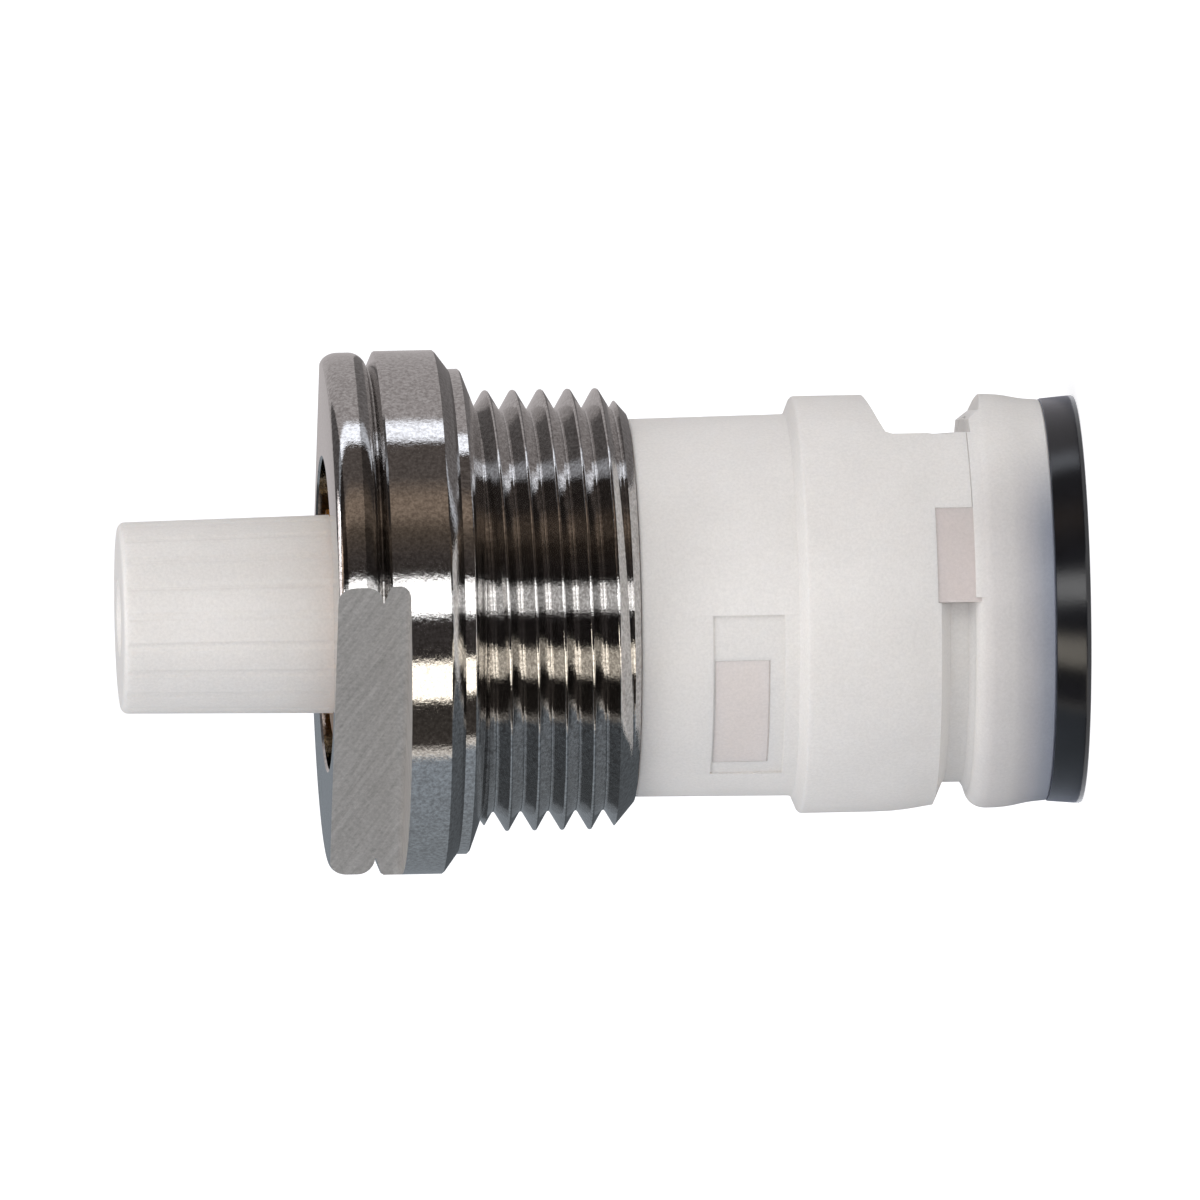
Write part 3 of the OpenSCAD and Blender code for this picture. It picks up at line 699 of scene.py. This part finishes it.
# Moulded rubber from a polished mould is smooth, so it shows narrow highlights on a dark ground.
nitrile, tree, output = new_material("nitrile_rubber")
place = add_node(tree, "TexCoord").outputs["Object"]
bloom = add_node(tree, "TexNoise", Vector=place, Scale=1 / (2.2 * MM), Detail=4.0, Roughness=0.6)
pores = add_node(tree, "TexNoise", Vector=place, Scale=1 / (0.12 * MM), Detail=3.0, Roughness=0.7)
tint = add_node(tree, "ValToRGB", Fac=bloom.outputs["Fac"])
tint.color_ramp.elements[0].position = 0.3
tint.color_ramp.elements[0].color = linear("#0b0c0f")
tint.color_ramp.elements[1].position = 0.75
tint.color_ramp.elements[1].color = linear("#121318")
gloss = add_node(
    tree, "MapRange", Value=bloom.outputs["Fac"], From_Min=0.3, From_Max=0.7, To_Min=0.14, To_Max=0.2)
relief = add_node(tree, "Bump", Height=pores.outputs["Fac"], Strength=0.25, Distance=0.02 * MM)
gum = add_node(
    tree, "BsdfPrincipled", Base_Color=tint.outputs[0], Roughness=gloss.outputs[0], Normal=relief.outputs[0])
gum.inputs["IOR"].default_value = 1.52
gum.inputs["Sheen Weight"].default_value = 0.6
gum.inputs["Sheen Roughness"].default_value = 0.35
gum.inputs["Sheen Tint"].default_value = linear("#c4cbe0")
tree.links.new(gum.outputs[0], output.inputs["Surface"])
seal.data.materials.clear()
seal.data.materials.append(nitrile)
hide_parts("end_seal")
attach(seal, "housing")


def dress(node_names, material):
    """Gives CAD pieces their material."""
    for name in node_names:
        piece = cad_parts[name]
        piece.data.materials.clear()
        piece.data.materials.append(material)


# Rubber rings
# Three black O-rings of the same rubber as the seal: two on the stem and one on the bushing's neck.
dress(["upper_stem_oring", "lower_stem_oring", "neck_oring"], nitrile)

# Neck bushing and drive carrier
# Plain inner mouldings in natural acetal. The bushing's barbed lugs show in the snap windows.
bushing_outline = [
    (8, 11.05), (8.75, 11.05), (9.15, 11.85), (9.15, 24.4), (8.9, 24.4), (8.9, 32.45), (7.49, 32.45),
    (7.49, 34.35), (8.9, 34.35), (8.9, 37.95), (8.5, 38.35), (6.4, 38.35), (6.4, 30), (8, 30), (8, 11.05)]
bushing = turn_solid("neck_bushing_moulding", bushing_outline, 192)
lug_radius = panel_radius - 0.008
lug_section = [
    (8.65, 17.405), (lug_radius - 0.06, 17.405), (lug_radius, 17.5), (lug_radius, 20.395), (8.65, 20.395)]
slit_section = [(7, 14.05), (7, 21.05), (10.2, 21.05), (10.2, 14.05)]
for side in (0, 180):
    cut_with(bushing, turned_tool(lug_section, side - 145.95, side - 107.05), "UNION")
    cut_with(bushing, turned_tool(slit_section, side - 152, side - 148))
    cut_with(bushing, turned_tool(slit_section, side - 104.9, side - 100.9))
rib_section = [(6.25, 24.7), (6.25, 27.35), (8.4, 27.35), (8.4, 24.7)]
cut_with(bushing, turned_tool(rib_section, 130.6, 319.4), "UNION")
finish_shading(bushing)
bushing.data.materials.clear()
bushing.data.materials.append(natural_acetal)
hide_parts("neck_bushing")
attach(bushing, "housing")
dress(["drive_carrier"], natural_acetal)

# Ceramic discs
# Sintered alumina, off-white, with faces lapped to a shine and rims left as fired.
alumina, tree, output = new_material("lapped_alumina")
place = add_node(tree, "TexCoord").outputs["Object"]
grain = add_node(tree, "TexNoise", Vector=place, Scale=1 / (0.3 * MM), Detail=4.0, Roughness=0.7)
tint = add_node(tree, "ValToRGB", Fac=grain.outputs["Fac"])
tint.color_ramp.elements[0].position = 0.3
tint.color_ramp.elements[0].color = linear("#e6dfd4")
tint.color_ramp.elements[1].position = 0.7
tint.color_ramp.elements[1].color = linear("#f1ece3")
relief = add_node(tree, "Bump", Height=grain.outputs["Fac"], Strength=0.1, Distance=0.005 * MM)
fired = add_node(tree, "BsdfPrincipled", Base_Color=tint.outputs[0], Roughness=0.16, Normal=relief.outputs[0])
fired.inputs["IOR"].default_value = 1.76
tree.links.new(fired.outputs[0], output.inputs["Surface"])
dress(["fixed_disc", "moving_disc"], alumina)

# Clip and washers
# The clip and the washer under it are stamped from bronze and brass sheet and show as golden
# glints in the nut's recess. The slip washer and the seal's inner ring are stainless steel.


def sheet_metal(name, colour, bright_colour, roughness):
    """Makes a stamped sheet metal, with faint rolling marks."""
    material, tree, output = new_material(name)
    place = add_node(tree, "TexCoord").outputs["Object"]
    drawn = add_node(tree, "Mapping", Vector=place, Scale=(1 / (0.08 * MM), 1 / (1.5 * MM), 1 / (0.2 * MM)))
    rolling = add_node(tree, "TexNoise", Vector=drawn.outputs[0], Scale=1.0, Detail=4.0, Roughness=0.6)
    tint = add_node(tree, "ValToRGB", Fac=rolling.outputs["Fac"])
    tint.color_ramp.elements[0].position = 0.3
    tint.color_ramp.elements[0].color = linear(colour)
    tint.color_ramp.elements[1].position = 0.7
    tint.color_ramp.elements[1].color = linear(bright_colour)
    relief = add_node(tree, "Bump", Height=rolling.outputs["Fac"], Strength=0.15, Distance=0.01 * MM)
    metal = add_node(
        tree, "BsdfPrincipled", Base_Color=tint.outputs[0], Metallic=1.0, Roughness=roughness,
        Normal=relief.outputs[0])
    tree.links.new(metal.outputs[0], output.inputs["Surface"])
    return material


dress(["retaining_clip"], sheet_metal("spring_bronze", "#a8783f", "#c9965a", 0.3))
dress(["clip_washer"], sheet_metal("brass_sheet", "#c09a4e", "#dcb968", 0.28))
stainless = sheet_metal("stainless_steel", "#a9aaac", "#c6c7c9", 0.3)
dress(["slip_washer", "support_ring"], stainless)
